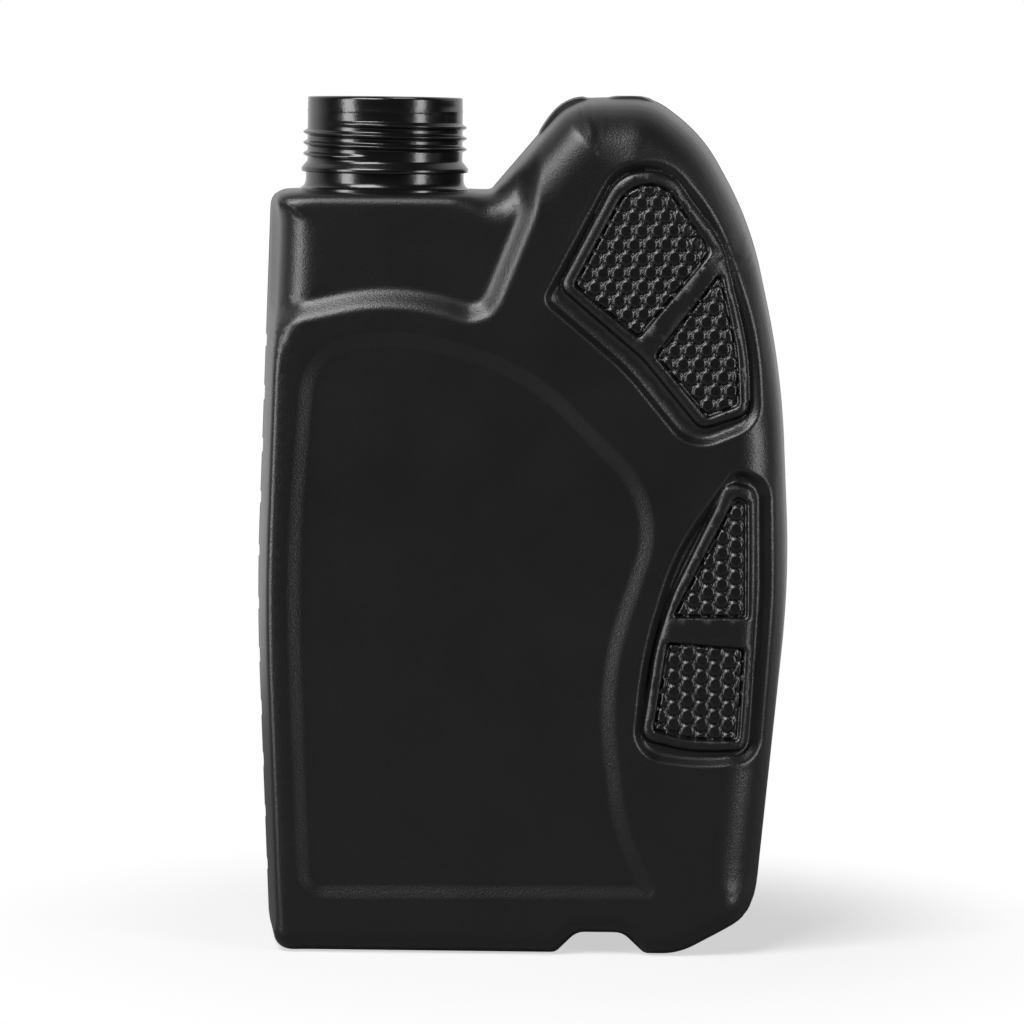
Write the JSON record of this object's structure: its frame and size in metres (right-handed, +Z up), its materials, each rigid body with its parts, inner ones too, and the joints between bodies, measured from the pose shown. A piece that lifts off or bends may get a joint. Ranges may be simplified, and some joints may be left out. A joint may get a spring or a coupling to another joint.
{
  "type": "motor oil bottle",
  "caption": "Blow-moulded black oil bottle with an open threaded neck at one side, a raised grip shoulder with textured pads and a sunk label panel.",
  "frame": {"origin": "middle of the footprint, on the surface that the bottle stands on", "axes": "+Z up through the height, +X from the neck side towards the grip side, -Y out of the face seen in the picture"},
  "size_m": [0.1416, 0.056, 0.2262],
  "materials": {
    "body": "matte, finely grained"
  },
  "bodies": {
    "root": {"bottle": "body"}
  },
  "joints": []
}
